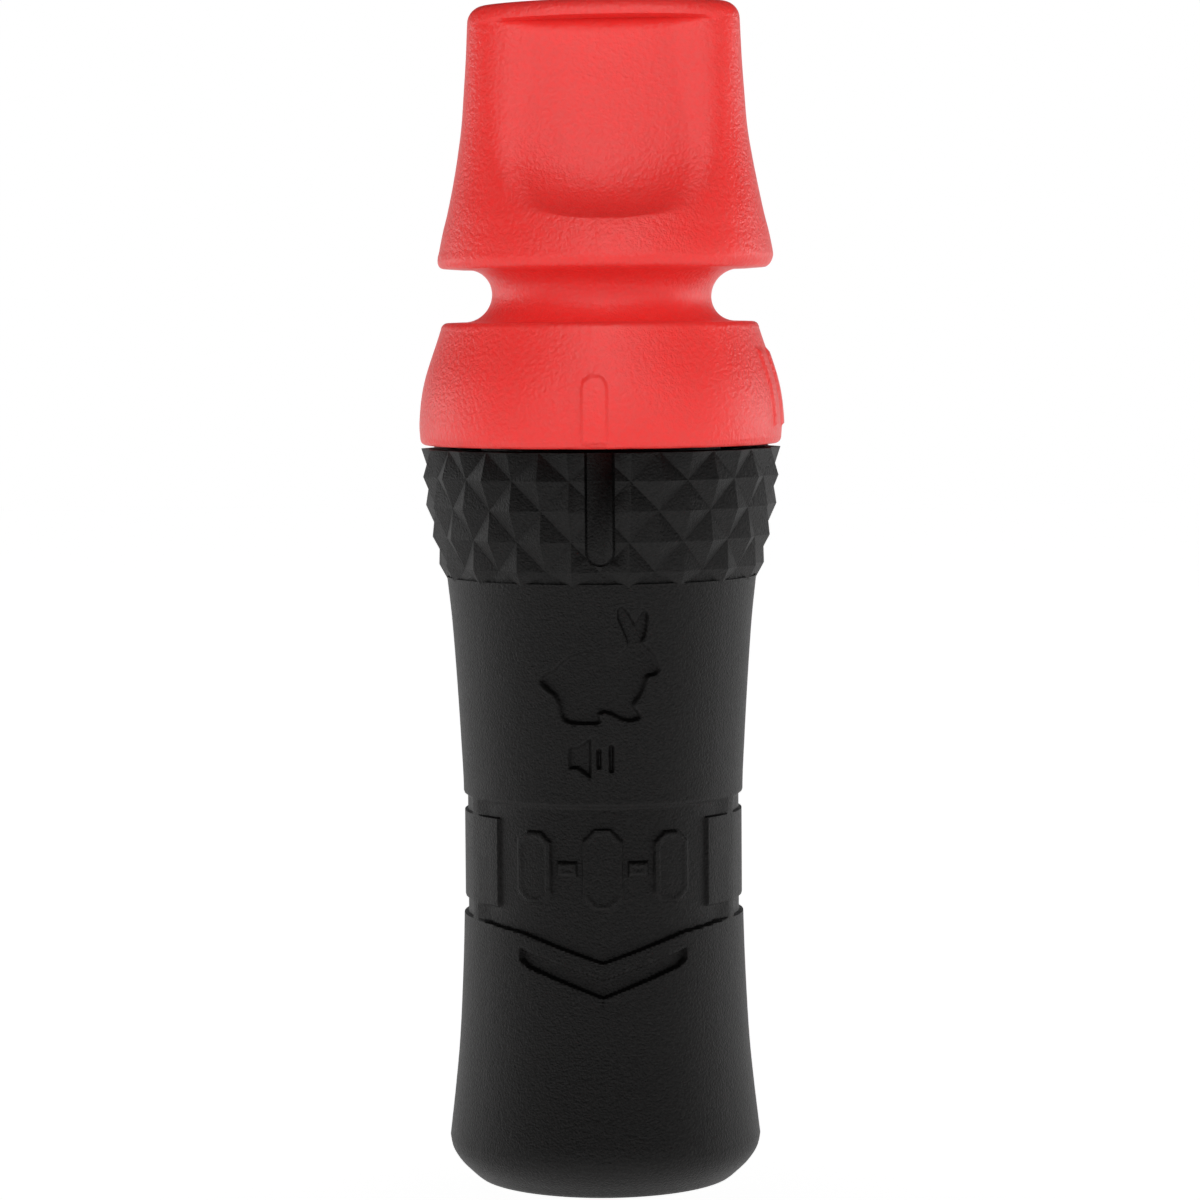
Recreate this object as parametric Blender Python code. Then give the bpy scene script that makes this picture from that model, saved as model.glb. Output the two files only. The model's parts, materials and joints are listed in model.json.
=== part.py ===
"""Three-position rotary game call: mouthpiece that turns on a barrel over three reed chambers.

Frame: +Z up the long axis, the bell end's foot ring on Z = 0, the index slot and the hare face -Y.
Run with: blender --background --python part.py
"""
import math

import bmesh
import bpy
import numpy as np
from mathutils import Matrix, Vector

MM = 0.001
WELD_DISTANCE = 0.00001

# ---------------------------------------------------------------- driving dimensions, millimetres
SEGMENTS = 36            # facets round a large turned piece, one for each node of the grip lattice
GAP = 0.3                # clearance between pieces that touch or nest

BARREL_TOP = 77.7
BORE_R = 13.0            # seat of the drum and of the turning spigot
LEDGE_Z = 38.0           # ledge that the drum stands on
BELL_R = 10.6            # bell bore just under the ledge
FOOT_OUTER_R = 13.6
FOOT_INNER_R = 12.3

# outside of the barrel from the foot up to the grip band: radius, height
BARREL_OUTSIDE = [
    (FOOT_OUTER_R, 0.0), (15.4, 1.7), (16.3, 3.0), (16.6, 4.4), (16.0, 9.4), (15.5, 14.5),
    (15.2, 19.6), (14.96, 25.6), (14.8, 28.4), (14.4, 28.5), (14.4, 30.1), (14.75, 30.2),
    (14.75, 39.4), (14.45, 39.5), (14.45, 41.1), (14.86, 41.4), (15.1, 46.9), (15.5, 53.7),
    (15.9, 59.6), (16.3, 62.6),
]
# floor of everything engraved in the barrel: radius, height
ENGRAVED_FLOOR = [
    (14.75, 15.0), (14.45, 24.0), (14.45, 41.4), (14.7, 46.9), (15.1, 53.7), (15.5, 59.6), (15.8, 63.0),
]

GRIP_VALLEY = 0.85       # depth of the valleys between pyramids
# rows of the grip lattice from its lower edge up: radius of a pyramid's tip, height
GRIP_ROWS = [(17.25, 65.4), (18.05, 68.5), (18.6, 71.7), (19.0, 74.8), (19.05, BARREL_TOP)]
GRIP_FOOT = (16.25, 62.9)

STATIONS = (-90.0, 30.0, 150.0)      # angles of the three positions
SLOT_WIDTH = 3.1
SLOT_BOTTOM = 65.5
SLOT_FLOOR = [(16.0, 62.0), (17.5, 82.0)]       # radius, height

CHAMBER_RADIUS = 7.9     # distance of a reed chamber from the axis
CHAMBER_R = 3.3
PORT_R = 2.6
DRUM_R = BORE_R - GAP
DRUM_BOTTOM = LEDGE_Z + GAP
DRUM_TOP = 68.0

RING_SECTION_R = 0.45    # O-ring cross-section
RING_R = 12.45
RING_GROOVE_R = 11.85
RING_GROOVE_HEIGHT = 1.3
CARRIER_RING_Z = 41.65
SPIGOT_RING_Z = 76.6

SNAP_GROOVE = (68.0, 69.7)
SNAP_RING = (11.6, 13.4, 68.35, 69.35)       # inner radius, outer radius, bottom, top

VALVE_GASKET = (68.3, 69.3)
PLATE_BOTTOM = 69.7
PLATE_FLOOR = 75.0
PLATE_TOP = 80.0
PLENUM_R = 9.0
PLENUM_GASKET = (80.3, 81.1)
SOCKET_TOP = 81.4

REED_TAIL = 46.1         # heights along a reed: tail, clamp line and tip
REED_HINGE = 50.0
REED_TIP = 63.0
REED_CURVE = 0.9         # how far the tip stands off beyond the clamp's level
REED_THICKNESS = 0.3
REED_HALF_WIDTH = 1.7
BOARD_R = CHAMBER_R - GAP
BOARD = (40.6, 64.0)     # bottom and top of a tone board

SCREW_CIRCLE_R = 10.4
SCREW_ANGLES = (30.0, 150.0, 210.0, 330.0)

DETENT_Z = 72.4
DETENT_BALL_R = 1.0
DETENT_BALL_AT = 11.9
DETENT_BORE_R = 1.25

COLLAR_BOTTOM = 78.1
# collar, dome only: radius, height
COLLAR = [
    (18.6, COLLAR_BOTTOM), (19.1, 78.6), (19.2, 80.1), (19.1, 81.8), (18.9, 83.5), (18.5, 85.2),
    (17.95, 86.9), (17.4, 88.6), (16.9, 90.2), (16.4, 90.9),
]
RIB_HALF_WIDTH = 1.325   # index rib at the front of the collar
RIB_BOTTOM = 78.5
RIB_TOP = 85.5
BAR_PLACES = (-5.4, -1.8, 1.8, 5.4)          # plain grip bars at the right side
BAR_HALF_WIDTH = 0.9
BAR_BOTTOM = 80.0
BAR_TOP = 88.0
RELIEF_HEIGHT = 0.3
RELIEF_DEPTH = (12.0, 22.0)
NECK_Z = 93.75           # lanyard groove: height, and radius of its round bottom
NECK_GROOVE_R = 2.75
NECK_GROOVE_AT = 14.35
# bill outside, without its scoops: height, half width, half depth, squareness of the section
BILL = [
    (96.6, 17.3, 15.4, 2.1), (97.1, 17.65, 15.75, 2.1), (98.1, 17.7, 15.8, 2.1), (99.3, 17.45, 15.3, 2.15),
    (100.6, 17.2, 14.7, 2.2), (101.8, 16.85, 14.05, 2.3), (102.7, 16.6, 13.55, 2.35), (103.4, 16.5, 13.1, 2.4),
    (104.4, 16.3, 12.6, 2.45), (106.0, 16.0, 11.7, 2.5), (108.2, 15.6, 10.6, 2.6), (111.6, 15.1, 9.3, 2.7),
    (115.0, 14.8, 8.2, 2.8), (119.0, 14.6, 7.1, 2.9), (122.7, 14.4, 6.2, 3.0), (124.0, 14.1, 5.6, 3.0),
    (124.7, 13.2, 4.6, 3.0),
]
# scoop for the lips, front and back, open towards the sides: height, depth from the middle plane
SCOOP = [
    (102.6, 14.0), (103.4, 11.6), (104.4, 10.2), (106.0, 8.75), (108.2, 7.65), (111.6, 6.6), (115.0, 5.9),
    (119.0, 5.2), (122.7, 4.5), (124.0, 4.1), (124.7, 3.3),
]
SCOOP_CURVE = 0.005      # rise of the scoop's floor, per millimetre squared off the centre
# airway inside neck and bill: height, half width, half depth, squareness
AIRWAY = [
    (86.5, 6.5, 6.5, 2.0), (97.5, 6.5, 6.5, 2.0), (103.5, 7.4, 4.2, 2.4), (112.0, 8.8, 2.3, 3.0),
    (126.0, 9.8, 1.4, 4.0),
]

RED = (0.83, 0.045, 0.04, 1.0)
BLACK = (0.022, 0.020, 0.019, 1.0)
DARK_GREY = (0.05, 0.05, 0.055, 1.0)
IVORY = (0.72, 0.68, 0.58, 1.0)
SILICONE = (0.55, 0.16, 0.10, 1.0)
CORK = (0.42, 0.25, 0.13, 1.0)
BRASS = (0.78, 0.57, 0.25, 1.0)
STEEL = (0.62, 0.63, 0.65, 1.0)


# ---------------------------------------------------------------- scene and object helpers
def clear_scene():
    for item in list(bpy.data.objects):
        bpy.data.objects.remove(item, do_unlink=True)


def material(name, colour, roughness, metallic=0.0):
    mat = bpy.data.materials.new(name)
    mat.use_nodes = True
    shader = mat.node_tree.nodes["Principled BSDF"]
    shader.inputs["Base Color"].default_value = colour
    shader.inputs["Roughness"].default_value = roughness
    shader.inputs["Metallic"].default_value = metallic
    return mat


def add_object(name, bm, mat=None, origin=(0.0, 0.0, 0.0)):
    """Make an object from a bmesh in millimetres, with its origin at a point in millimetres."""
    bmesh.ops.translate(bm, verts=bm.verts, vec=-Vector(origin))
    bmesh.ops.scale(bm, verts=bm.verts, vec=(MM, MM, MM))
    bmesh.ops.recalc_face_normals(bm, faces=bm.faces)
    mesh = bpy.data.meshes.new(name)
    bm.to_mesh(mesh)
    bm.free()
    mesh.shade_smooth()
    mesh.set_sharp_from_angle(angle=math.radians(35.0))
    obj = bpy.data.objects.new(name, mesh)
    obj.location = Vector(origin) * MM
    bpy.context.collection.objects.link(obj)
    if mat:
        mesh.materials.append(mat)
    return obj


def as_cutter(obj):
    obj.hide_render = True
    obj.display_type = "WIRE"
    return obj


def boolean(obj, tool, operation="DIFFERENCE"):
    modifier = obj.modifiers.new(tool.name, "BOOLEAN")
    modifier.operation = operation
    modifier.object = as_cutter(tool)


def weld(obj):
    """Close the hair-thin triangles that crossing surfaces can leave."""
    modifier = obj.modifiers.new("weld", "WELD")
    modifier.merge_threshold = WELD_DISTANCE


# ---------------------------------------------------------------- shape helpers
def ring(bm, radius, z, count=SEGMENTS, centre=(0.0, 0.0)):
    angles = np.arange(count) * math.tau / count - math.pi / 2
    x = centre[0] + radius * np.cos(angles)
    y = centre[1] + radius * np.sin(angles)
    return [bm.verts.new((px, py, z)) for px, py in zip(x, y)]


def skin(bm, lower, upper):
    """Join two rings that have the same number of points."""
    for i in range(len(lower)):
        j = (i + 1) % len(lower)
        bm.faces.new((lower[i], lower[j], upper[j], upper[i]))


def stack(bm, rings, closed=False):
    """Skin a list of rings, then cap the two ends or close the loop."""
    for lower, upper in zip(rings, rings[1:]):
        skin(bm, lower, upper)
    if closed:
        skin(bm, rings[-1], rings[0])
    else:
        bm.faces.new(rings[0])
        bm.faces.new(rings[-1])


def turned(name, profile, mat=None, closed=False, count=SEGMENTS, centre=(0.0, 0.0)):
    """Turn (radius, height) points about a vertical axis; closed makes a ring with a hole through it."""
    bm = bmesh.new()
    stack(bm, [ring(bm, r, z, count, centre) for r, z in profile], closed)
    return add_object(name, bm, mat)


def tube(name, inner, outer, bottom, top, mat, count=SEGMENTS):
    return turned(name, [(outer, bottom), (outer, top), (inner, top), (inner, bottom)], mat, True, count)


def add_prism(bm, outline, low, high, basis=None):
    """Extrude a 2-D outline from low to high along the third axis, turned by basis."""
    basis = basis or Matrix.Identity(4)
    bottom = [bm.verts.new(basis @ Vector((x, y, low))) for x, y in outline]
    top = [bm.verts.new(basis @ Vector((x, y, high))) for x, y in outline]
    skin(bm, bottom, top)
    bm.faces.new(bottom)
    bm.faces.new(top)


def facing(angle):
    """Basis whose first axis runs sideways, second up, third out of the barrel at an angle in degrees."""
    a = math.radians(angle)
    out = Vector((math.cos(a), math.sin(a), 0.0))
    up = Vector((0.0, 0.0, 1.0))
    side = up.cross(out)
    return Matrix((side, up, out)).transposed().to_4x4()


def circle_points(radius, count, centre=(0.0, 0.0)):
    angles = np.arange(count) * math.tau / count
    return [(centre[0] + radius * math.cos(a), centre[1] + radius * math.sin(a)) for a in angles]


def cylinder_tool(name, parts, count=24):
    """One cutter of several vertical cylinders: (x, y, radius, bottom, top) each."""
    bm = bmesh.new()
    for x, y, radius, low, high in parts:
        add_prism(bm, circle_points(radius, count, (x, y)), low, high)
    return add_object(name, bm)


def polar(radius, angle):
    a = math.radians(angle)
    return radius * math.cos(a), radius * math.sin(a)


def superellipse_ring(bm, z, half_width, half_depth, power, count=SEGMENTS):
    angles = np.arange(count) * math.tau / count - math.pi / 2
    c = np.cos(angles)
    s = np.sin(angles)
    x = half_width * np.sign(c) * np.abs(c) ** (2.0 / power)
    y = half_depth * np.sign(s) * np.abs(s) ** (2.0 / power)
    return [bm.verts.new((px, py, z)) for px, py in zip(x, y)]


def bill_ring(bm, z, half_width, half_depth, power):
    """Section of the bill, cut back by the scoops at its front and back."""
    corners = superellipse_ring(bm, z, half_width, half_depth, power)
    if z < SCOOP[0][0]:
        return corners
    floor = np.interp(z, [height for height, _ in SCOOP], [depth for _, depth in SCOOP])
    for vert in corners:
        limit = floor + SCOOP_CURVE * vert.co.x ** 2
        vert.co.y = max(-limit, min(limit, vert.co.y))
    return corners


def rounded_slot(half_width, bottom, top, points=8):
    """Upright slot outline with a round lower end."""
    centre = bottom + half_width
    angles = np.linspace(math.pi, math.tau, points)
    arc = [(half_width * math.cos(a), centre + half_width * math.sin(a)) for a in angles]
    return arc + [(half_width, top), (-half_width, top)]


def smooth_outline(points, steps):
    """Closed Catmull-Rom curve through the points."""
    knots = np.array(points)
    before = np.roll(knots, 1, axis=0)
    after = np.roll(knots, -1, axis=0)
    beyond = np.roll(knots, -2, axis=0)
    rows = []
    for t in np.arange(steps) / steps:
        rows.append(0.5 * (2 * knots + (after - before) * t
                           + (2 * before - 5 * knots + 4 * after - beyond) * t ** 2
                           + (3 * knots - before - 3 * after + beyond) * t ** 3))
    return [tuple(p) for p in np.stack(rows, axis=1).reshape(-1, 2)]


# ---------------------------------------------------------------- barrel
def grip_rings(bm):
    """Lattice rows of the grip band: tips and valleys alternate, and shift by one node in each row."""
    rings = [ring(bm, GRIP_FOOT[0], GRIP_FOOT[1], SEGMENTS)]
    for row, (tip, z) in enumerate(GRIP_ROWS):
        nodes = ring(bm, tip, z, SEGMENTS)
        for i, vert in enumerate(nodes):
            if (i + row) % 2 == 0:
                scale = (tip - GRIP_VALLEY) / tip
                vert.co.x *= scale
                vert.co.y *= scale
        rings.append(nodes)
    return rings


def skin_grip(bm, lower, upper, row):
    """Split each cell along the diagonal between its two valleys, so pyramids get four flat sides."""
    for i in range(SEGMENTS):
        j = (i + 1) % SEGMENTS
        if (i + row) % 2 == 0:
            bm.faces.new((lower[i], lower[j], upper[i]))
            bm.faces.new((lower[j], upper[j], upper[i]))
        else:
            bm.faces.new((lower[i], lower[j], upper[j]))
            bm.faces.new((lower[i], upper[j], upper[i]))


def barrel_blank(mat):
    bm = bmesh.new()
    outside = [ring(bm, r, z) for r, z in BARREL_OUTSIDE]
    for lower, upper in zip(outside, outside[1:]):
        skin(bm, lower, upper)
    grip = grip_rings(bm)
    skin(bm, outside[-1], grip[0])
    for row, (lower, upper) in enumerate(zip(grip, grip[1:])):
        skin_grip(bm, lower, upper, row)
    inside_profile = [
        (BORE_R + 0.5, BARREL_TOP), (BORE_R, BARREL_TOP - 0.5), (BORE_R, SNAP_GROOVE[1]),
        (BORE_R + 0.7, SNAP_GROOVE[1]), (BORE_R + 0.7, SNAP_GROOVE[0]), (BORE_R, SNAP_GROOVE[0]),
        (BORE_R, LEDGE_Z), (BELL_R, LEDGE_Z), (10.9, 25.0), (11.4, 12.0), (12.0, 1.0), (FOOT_INNER_R, 0.0),
    ]
    inside = [ring(bm, r, z) for r, z in inside_profile]
    skin(bm, grip[-1], inside[0])
    for lower, upper in zip(inside, inside[1:]):
        skin(bm, lower, upper)
    skin(bm, inside[-1], outside[0])
    return add_object("barrel", bm, mat)


def hare_outline():
    """Generic sitting hare in profile, looking to the right."""
    return smooth_outline([
        (-6.3, 54.6), (-5.6, 55.6), (-4.6, 56.9), (-2.6, 57.9), (0.2, 57.6), (1.6, 57.9), (2.3, 58.9),
        (1.7, 60.6), (1.9, 61.8), (2.7, 61.0), (3.2, 59.6), (3.9, 60.7), (4.7, 61.6), (4.7, 60.0),
        (4.2, 58.4), (5.2, 57.5), (5.8, 56.3), (5.3, 55.4), (4.4, 54.9), (4.3, 53.4), (3.4, 52.0),
        (3.9, 50.6), (3.7, 49.8), (2.4, 50.0), (1.4, 50.8), (0.2, 50.4), (-0.8, 49.8), (-3.8, 49.8),
        (-4.4, 51.0), (-4.8, 52.6), (-5.7, 53.4),
    ], 2)


def loudness_outlines():
    horn = [(-3.6, 47.0), (-2.8, 47.0), (-1.5, 48.0), (-1.5, 44.0), (-2.8, 45.1), (-3.6, 45.1)]
    bars = [[(-0.7, 44.9), (-0.1, 44.9), (-0.1, 47.1), (-0.7, 47.1)],
            [(0.8, 44.5), (1.4, 44.5), (1.4, 47.6), (0.8, 47.6)]]
    return [horn] + bars


def window_outline():
    """Recessed window of the waist, with the V of the lower body's edge along its bottom."""
    return [(-10.8, 28.0), (-8.4, 27.7), (-0.2, 24.85), (0.2, 24.85), (8.4, 27.7), (10.8, 28.0),
            (10.8, 41.2), (-10.8, 41.2)]


def chevron_outline():
    return [(-8.7, 25.9), (-8.7, 24.9), (-7.9, 24.1), (-0.2, 21.35), (0.2, 21.35), (7.9, 24.1), (8.7, 24.9),
            (8.7, 25.9), (7.6, 25.45), (0.2, 23.05), (-0.2, 23.05), (-7.6, 25.45)]


def stud_outlines():
    """Three plain six-sided studs joined by two dashes."""
    studs = []
    for x, half_width, low, high in ((-7.2, 1.7, 30.9, 38.3), (0.0, 2.1, 30.3, 38.7), (7.2, 1.7, 30.9, 38.3)):
        cut = half_width * 0.6
        middle = (low + high) / 2
        studs.append([(x - half_width + cut, low), (x + half_width - cut, low), (x + half_width, low + cut),
                      (x + half_width, middle), (x + half_width, high - cut), (x + half_width - cut, high),
                      (x - half_width + cut, high), (x - half_width, high - cut), (x - half_width, low + cut)])
    for x in (-3.8, 3.8):
        studs.append([(x - 1.0, 33.9), (x + 1.0, 33.9), (x + 1.0, 35.3), (x - 1.0, 35.3)])
    return studs


def prisms(name, outlines, angle, low=10.0, high=21.0):
    bm = bmesh.new()
    for outline in outlines:
        add_prism(bm, outline, low, high, facing(angle))
    return add_object(name, bm)


def barrel_engraving():
    """Everything sunk into the barrel's skin, cut back so that its floor follows the barrel."""
    floor = turned("engraved_floor", ENGRAVED_FLOOR)
    for side, angle in (("front", -90.0), ("back", 90.0)):
        window = prisms("window_" + side, [window_outline()], angle)
        boolean(window, prisms("studs_" + side, stud_outlines(), angle, 9.0, 22.0))
        boolean(window, floor)
        yield window
        marks = prisms("marks_" + side, [chevron_outline()], angle)
        boolean(marks, floor)
        yield marks
    signs = prisms("signs_front", [hare_outline()] + loudness_outlines(), -90.0)
    boolean(signs, floor)
    yield signs


def index_slots():
    bm = bmesh.new()
    for angle in STATIONS:
        add_prism(bm, rounded_slot(SLOT_WIDTH / 2, SLOT_BOTTOM, 80.0), 12.0, 22.0, facing(angle))
    slots = add_object("index_slots", bm)
    boolean(slots, turned("slot_floor", SLOT_FLOOR))
    return slots


def key_groove(name):
    """Vertical groove for half of the dowel between drum and barrel."""
    return cylinder_tool(name, [(0.0, BORE_R - 0.15, 1.2, 54.7, 68.9)], 14)


def detent_dimples():
    bm = bmesh.new()
    for angle in (90.0, 210.0, 330.0):
        x, y = polar(12.0, angle)
        place = Matrix.Translation((x, y, DETENT_Z))
        bmesh.ops.create_icosphere(bm, subdivisions=1, radius=1.6, matrix=place)
    return add_object("detent_dimples", bm)


def make_barrel(mat):
    barrel = barrel_blank(mat)
    for tool in barrel_engraving():
        boolean(barrel, tool)
    boolean(barrel, index_slots())
    boolean(barrel, key_groove("barrel_keyway"))
    boolean(barrel, detent_dimples())
    weld(barrel)


# ---------------------------------------------------------------- mouthpiece
def neck_profile(count=9):
    """Half-round lanyard groove between collar and bill, from its lower edge up."""
    angles = np.linspace(-math.pi / 2, -3 * math.pi / 2, count)
    radii = NECK_GROOVE_AT + NECK_GROOVE_R * np.cos(angles)
    heights = NECK_Z + NECK_GROOVE_R * np.sin(angles)
    return list(zip(radii, heights))


def mouthpiece_relief():
    """Index rib at the front and plain grip bars at the right side, a little proud of the dome."""
    bm = bmesh.new()
    upright = rounded_slot(RIB_HALF_WIDTH, RIB_BOTTOM, RIB_TOP)
    rib = [(-x, RIB_BOTTOM + RIB_TOP - z) for x, z in upright]
    add_prism(bm, rib, *RELIEF_DEPTH, facing(-90.0))
    for place in BAR_PLACES:
        left, right = place - BAR_HALF_WIDTH, place + BAR_HALF_WIDTH
        bar = [(left, BAR_BOTTOM), (right, BAR_BOTTOM), (right, BAR_TOP), (left, BAR_TOP)]
        add_prism(bm, bar, *RELIEF_DEPTH, facing(0.0))
    relief = add_object("relief", bm)
    proud = [(r + RELIEF_HEIGHT, z) for r, z in COLLAR[1:-1]]
    boolean(relief, turned("relief_skin", proud), "INTERSECT")
    return relief


def make_mouthpiece(mat):
    bm = bmesh.new()
    rings = [ring(bm, r, z) for r, z in COLLAR + neck_profile()]
    rings += [bill_ring(bm, *station) for station in BILL]
    stack(bm, rings)
    mouthpiece = add_object("mouthpiece", bm, mat)
    boolean(mouthpiece, mouthpiece_relief(), "UNION")
    boolean(mouthpiece, turned("socket", [(BORE_R, 77.0), (BORE_R, SOCKET_TOP)]))
    boolean(mouthpiece, turned("plenum", [(PLENUM_R, 80.9), (PLENUM_R, 87.0), (6.0, 90.0)]))
    bm = bmesh.new()
    stack(bm, [superellipse_ring(bm, *station, 32) for station in AIRWAY])
    boolean(mouthpiece, add_object("airway", bm))
    pilots = [(*polar(SCREW_CIRCLE_R, a), 1.0, 80.9, 86.8) for a in SCREW_ANGLES]
    boolean(mouthpiece, cylinder_tool("screw_pilots", pilots, 16))


# ---------------------------------------------------------------- rotor under the mouthpiece
def make_selector_plate(mat):
    groove_low = SPIGOT_RING_Z - RING_GROOVE_HEIGHT / 2
    groove_high = SPIGOT_RING_Z + RING_GROOVE_HEIGHT / 2
    plate = turned("selector_plate", [
        (DRUM_R, PLATE_BOTTOM), (DRUM_R, groove_low), (RING_GROOVE_R, groove_low),
        (RING_GROOVE_R, groove_high), (DRUM_R, groove_high), (DRUM_R, PLATE_TOP), (PLENUM_R, PLATE_TOP), (PLENUM_R, PLATE_FLOOR),
        (4.0, PLATE_FLOOR), (4.0, 78.5), (2.7, 78.5), (2.7, 71.2), (2.3, 71.2), (2.3, PLATE_BOTTOM),
    ], mat, closed=True)
    boolean(plate, cylinder_tool("plate_port", [(*polar(CHAMBER_RADIUS, -90.0), PORT_R, 68.7, 81.0)], 22))
    bm = bmesh.new()
    for angle in SCREW_ANGLES:
        centre = polar(SCREW_CIRCLE_R, angle)
        profile = [(1.7, 68.7), (1.7, 71.7), (1.0, 71.7), (1.0, 81.0)]
        stack(bm, [ring(bm, r, z, 14, centre) for r, z in profile])
    boolean(plate, add_object("plate_screw_holes", bm))
    bm = bmesh.new()
    bore = Matrix.Translation((0.0, 0.0, DETENT_Z)) @ facing(90.0)
    add_prism(bm, circle_points(DETENT_BORE_R, 22), 6.0, 14.0, bore)
    boolean(plate, add_object("detent_bore", bm))


def make_plate_screws(mat):
    profile = [(1.3, 69.95), (1.3, 71.3), (0.7, 71.3), (0.7, 86.0), (0.35, 86.4)]
    for number, angle in enumerate(SCREW_ANGLES, start=1):
        turned("plate_screw_%d" % number, profile, mat, count=12, centre=polar(SCREW_CIRCLE_R, angle))


def make_gaskets(mat):
    plenum = tube("plenum_gasket", PLENUM_R + GAP, DRUM_R, *PLENUM_GASKET, mat)
    holes = [(*polar(SCREW_CIRCLE_R, a), 0.95, 79.0, 82.0) for a in SCREW_ANGLES]
    boolean(plenum, cylinder_tool("gasket_screw_holes", holes, 10))
    valve = tube("valve_gasket", PORT_R, 11.2, *VALVE_GASKET, mat)
    ports = [(*polar(CHAMBER_RADIUS, a), PORT_R, 67.0, 70.5) for a in STATIONS]
    boolean(valve, cylinder_tool("gasket_ports", ports, 20))


def make_o_ring(name, z, mat):
    section = circle_points(RING_SECTION_R, 6, (RING_R, z))
    turned(name, section[::-1], mat, closed=True, count=40)


# ---------------------------------------------------------------- pivot
def make_pivot(steel, brass):
    screw = turned("pivot_screw", [
        (3.0, 39.0), (3.2, 39.3), (3.2, 40.6), (1.9, 40.6), (1.9, 70.9), (1.3, 71.0), (1.3, 77.2),
        (1.0, 77.5),
    ], steel, count=24)
    boolean(screw, cylinder_tool("hex_socket", [(0.0, 0.0, 1.5, 38.0, 40.0)], 6))
    tube("pivot_washer", 2.3, 3.5, 40.95, 41.55, steel, 24)
    turned("pivot_insert", [(2.4, 71.5), (2.4, 73.6), (2.1, 73.9), (2.1, 75.4), (2.4, 75.7), (2.4, 78.1),
                            (1.6, 78.1), (1.6, 71.5)], brass, closed=True, count=24)


def coil(name, start, axis, length, radius, wire_r, turns, mat):
    """Closed round wire wound as a helix: a point every 36 degrees, five sides round the wire."""
    out = Vector(axis).normalized()
    side = out.orthogonal().normalized()
    up = out.cross(side)
    steps = int(turns * 10)
    bm = bmesh.new()
    rings = []
    for i in range(steps + 1):
        angle = math.tau * turns * i / steps
        radial = side * math.cos(angle) + up * math.sin(angle)
        centre = Vector(start) + out * (wire_r + (length - 2 * wire_r) * i / steps) + radial * radius
        spots = np.arange(5) * math.tau / 5
        rings.append([bm.verts.new(centre + radial * wire_r * math.cos(s) + out * wire_r * math.sin(s))
                      for s in spots])
    stack(bm, rings)
    add_object(name, bm, mat)


def make_detent(mat):
    coil("detent_spring", (0.0, 6.2, DETENT_Z), (0.0, 1.0, 0.0), 4.3, 0.78, 0.16, 5, mat)
    bm = bmesh.new()
    centre = (0.0, DETENT_BALL_AT, DETENT_Z)
    bmesh.ops.create_icosphere(bm, subdivisions=2, radius=DETENT_BALL_R, matrix=Matrix.Translation(centre))
    add_object("detent_ball", bm, mat, centre)


# ---------------------------------------------------------------- drum and reeds
def make_reed_carrier(mat):
    groove_low = CARRIER_RING_Z - RING_GROOVE_HEIGHT / 2
    groove_high = CARRIER_RING_Z + RING_GROOVE_HEIGHT / 2
    carrier = turned("reed_carrier", [
        (DRUM_R, DRUM_BOTTOM), (DRUM_R, groove_low), (RING_GROOVE_R, groove_low),
        (RING_GROOVE_R, groove_high),
        (DRUM_R, groove_high), (DRUM_R, DRUM_TOP), (2.3, DRUM_TOP), (2.3, 47.3), (3.9, 47.3),
        (3.9, DRUM_BOTTOM),
    ], mat, closed=True)
    chambers = [(*polar(CHAMBER_RADIUS, a), CHAMBER_R, 40.3, 70.0) for a in STATIONS]
    exits = [(*polar(CHAMBER_RADIUS, a), 2.4, 37.0, 41.0) for a in STATIONS]
    boolean(carrier, cylinder_tool("chambers", chambers, 18))
    boolean(carrier, cylinder_tool("chamber_exits", exits, 14))
    boolean(carrier, key_groove("carrier_keyway"))


def chamber_basis(angle):
    """Axes of a reed chamber: across it, out from the barrel's axis, and up."""
    a = math.radians(angle)
    out = Vector((math.cos(a), math.sin(a), 0.0))
    up = Vector((0.0, 0.0, 1.0))
    across = out.cross(up)
    turn = Matrix((across, out, up)).transposed().to_4x4()
    return Matrix.Translation(out * CHAMBER_RADIUS) @ turn


def half_round(radius, flat, count=12):
    """D outline whose flat side is at the given height, filled below it."""
    start = math.asin(flat / radius)
    angles = np.linspace(math.pi - start, math.tau + start, count)
    return [(radius * math.cos(a), radius * math.sin(a)) for a in angles]


def make_tone_board(number, angle, mat):
    basis = chamber_basis(angle)
    bm = bmesh.new()
    add_prism(bm, half_round(BOARD_R, 0.0), BOARD[0] + 4.4, BOARD[1], basis)
    board = add_object("tone_board_%d" % number, bm, mat)
    bm = bmesh.new()
    add_prism(bm, circle_points(BOARD_R, 24), BOARD[0], BOARD[0] + 4.9, basis)
    boolean(board, add_object("board_plug_%d" % number, bm), "UNION")
    bm = bmesh.new()
    add_prism(bm, [(-1.0, -1.5), (1.0, -1.5), (1.0, 0.4), (-1.0, 0.4)], 39.0, BOARD[1] - 3.0, basis)
    boolean(board, add_object("board_channel_%d" % number, bm))


def make_reed(number, angle, mat):
    basis = chamber_basis(angle)
    heights = [REED_TAIL, REED_HINGE, 52.6, 55.2, 57.8, 60.4, REED_TIP]
    bm = bmesh.new()
    rings = []
    for z in heights:
        lift = GAP + REED_CURVE * max(0.0, (z - REED_HINGE) / (REED_TIP - REED_HINGE)) ** 2
        corners = [(-REED_HALF_WIDTH, lift), (REED_HALF_WIDTH, lift),
                   (REED_HALF_WIDTH, lift + REED_THICKNESS), (-REED_HALF_WIDTH, lift + REED_THICKNESS)]
        rings.append([bm.verts.new(basis @ Vector((x, y, z))) for x, y in corners])
    stack(bm, rings)
    hinge = basis @ Vector((0.0, GAP + REED_THICKNESS / 2, REED_HINGE))
    add_object("reed_%d" % number, bm, mat, tuple(hinge))


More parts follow.
